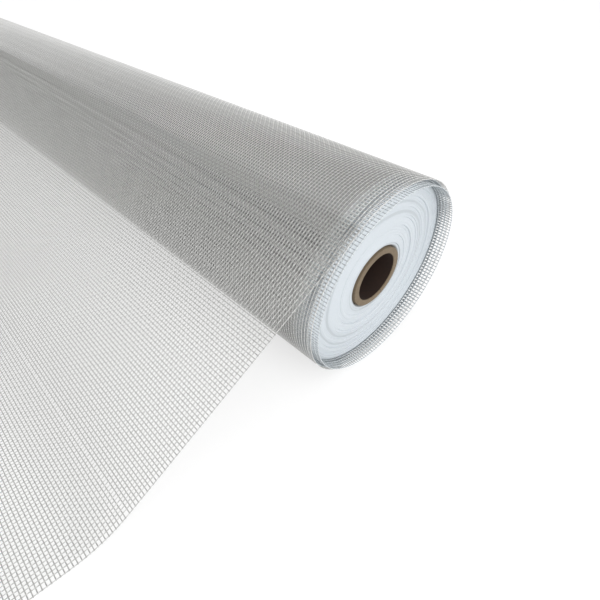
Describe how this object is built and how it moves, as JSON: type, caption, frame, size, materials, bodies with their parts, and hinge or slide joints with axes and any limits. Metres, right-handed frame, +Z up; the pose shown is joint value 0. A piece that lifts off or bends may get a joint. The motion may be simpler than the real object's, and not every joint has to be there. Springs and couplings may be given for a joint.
{
  "type": "fiberglass insect screen roll",
  "caption": "Roll of fiberglass insect screen on a cardboard tube, outer turns proud at one end, free end peeled off and laid on the floor.",
  "frame": {"origin": "on the floor under the middle of the roll's outer turns, at the flat facet that the roll lies on", "axes": "+X along the roll toward the end whose outer turns stand proud, +Y away from the free end, +Z up"},
  "size_m": [1.0056, 0.3013, 0.092],
  "materials": {
    "coated_fiberglass": "light grey vinyl-coated glass yarn in a plain open weave, satin",
    "cardboard": "bare wound board, matte"
  },
  "bodies": {
    "root": {"fiberglass_screen": "coated_fiberglass", "cardboard_tube": "cardboard"}
  },
  "joints": []
}
